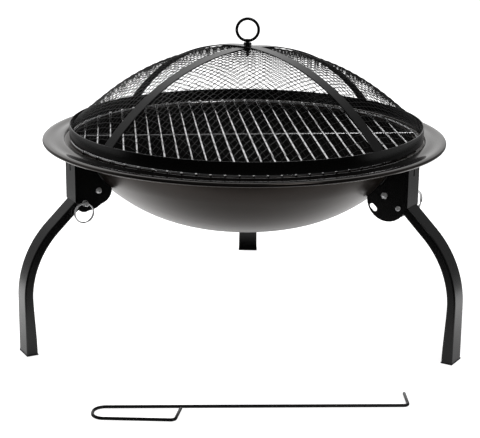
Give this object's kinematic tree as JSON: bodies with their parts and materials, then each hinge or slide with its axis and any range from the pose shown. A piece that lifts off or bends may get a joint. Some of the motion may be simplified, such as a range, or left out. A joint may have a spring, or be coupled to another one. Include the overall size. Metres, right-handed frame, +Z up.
{
  "type": "portable fire pit",
  "caption": "Round steel fire bowl with a flanged rim on folding curved legs, with a wire cooking grate, a domed mesh spark guard with a ring handle, and a hooked poker.",
  "frame": {"origin": "on the floor, under the middle of the bounding box of the whole set, poker included", "axes": "+Z up; -Y towards the front, where the poker lies, and +Y towards the rear leg; +X towards the front right leg"},
  "size_m": [0.5934, 0.7104, 0.4317],
  "materials": {
    "bowl_paint": "semi-gloss",
    "black_paint": "satin",
    "black_wire": "matte",
    "chrome_wire": "polished",
    "zinc_steel": "bright zinc",
    "black_plastic": "matte"
  },
  "bodies": {
    "fire_bowl": {"fire_bowl": "bowl_paint", "bracket_front_left": "black_paint", "pivot_bolt_front_left": "zinc_steel", "pivot_nut_front_left": "zinc_steel", "bracket_front_right": "black_paint", "pivot_bolt_front_right": "zinc_steel", "pivot_nut_front_right": "zinc_steel", "bracket_rear": "black_paint", "pivot_bolt_rear": "zinc_steel", "pivot_nut_rear": "zinc_steel"},
    "leg_front_left": {"leg_front_left": "black_paint", "knuckle_front_left": "black_paint", "foot_plug_front_left": "black_plastic"},
    "leg_front_right": {"leg_front_right": "black_paint", "knuckle_front_right": "black_paint", "foot_plug_front_right": "black_plastic"},
    "leg_rear": {"leg_rear": "black_paint", "knuckle_rear": "black_paint", "foot_plug_rear": "black_plastic"},
    "lock_pin_front_left": {"lock_pin_front_left": "zinc_steel"},
    "lock_pin_front_right": {"lock_pin_front_right": "zinc_steel"},
    "lock_pin_rear": {"lock_pin_rear": "zinc_steel"},
    "split_ring_front_left": {"split_ring_front_left": "zinc_steel"},
    "split_ring_front_right": {"split_ring_front_right": "zinc_steel"},
    "split_ring_rear": {"split_ring_rear": "zinc_steel"},
    "cooking_grate": {"cooking_grate": "chrome_wire"},
    "spark_guard": {"guard_band": "black_paint", "guard_screen": "black_wire", "guard_strap_lower": "black_paint", "guard_strap_upper": "black_paint", "guard_handle": "black_paint", "guard_crown_nut": "black_paint", "guard_lock_nut": "black_paint"},
    "poker": {"poker": "black_paint"}
  },
  "joints": [
    {"name": "leg_fold_front_left", "type": "hinge", "parent": "fire_bowl", "child": "leg_front_left", "pos_m": [-0.19702, -0.09242, 0.2175], "axis": [0.5, -0.866, 0], "range_deg": [0, 90]},
    {"name": "leg_fold_front_right", "type": "hinge", "parent": "fire_bowl", "child": "leg_front_right", "pos_m": [0.19702, -0.09242, 0.2175], "axis": [0.5, 0.866, 0], "range_deg": [0, 90]},
    {"name": "leg_fold_rear", "type": "hinge", "parent": "fire_bowl", "child": "leg_rear", "pos_m": [0, 0.24883, 0.2175], "axis": [-1, 0, 0], "range_deg": [0, 90]},
    {"name": "lock_pin_pull_front_left", "type": "slide", "parent": "fire_bowl", "child": "lock_pin_front_left", "axis": [0.5, -0.866, 0], "range_m": [0, 0.045]},
    {"name": "lock_pin_pull_front_right", "type": "slide", "parent": "fire_bowl", "child": "lock_pin_front_right", "axis": [0.5, 0.866, 0], "range_m": [0, 0.045]},
    {"name": "lock_pin_pull_rear", "type": "slide", "parent": "fire_bowl", "child": "lock_pin_rear", "axis": [-1, 0, 0], "range_m": [0, 0.045]},
    {"name": "split_ring_swing_front_left", "type": "hinge", "parent": "lock_pin_front_left", "child": "split_ring_front_left", "pos_m": [-0.20374, -0.12077, 0.2025], "axis": [-0.8403, -0.4851, 0.2419], "range_deg": [-5, 170]},
    {"name": "split_ring_swing_front_right", "type": "hinge", "parent": "lock_pin_front_right", "child": "split_ring_front_right", "pos_m": [0.22494, -0.08406, 0.2025], "axis": [0, 0, 1], "range_deg": [-85, 90]},
    {"name": "split_ring_swing_rear", "type": "hinge", "parent": "lock_pin_rear", "child": "split_ring_rear", "pos_m": [-0.0212, 0.26883, 0.2025], "axis": [0, 1, 0], "range_deg": [-5, 170]},
    {"name": "grate_lift", "type": "slide", "parent": "fire_bowl", "child": "cooking_grate", "axis": [0, 0, 1], "range_m": [0, 0.25]},
    {"name": "guard_lift", "type": "slide", "parent": "cooking_grate", "child": "spark_guard", "axis": [0, 0, 1], "range_m": [0, 0.3]},
    {"name": "poker_lift", "type": "slide", "parent": "fire_bowl", "child": "poker", "axis": [0, 0, 1], "range_m": [0, 0.3]}
  ]
}
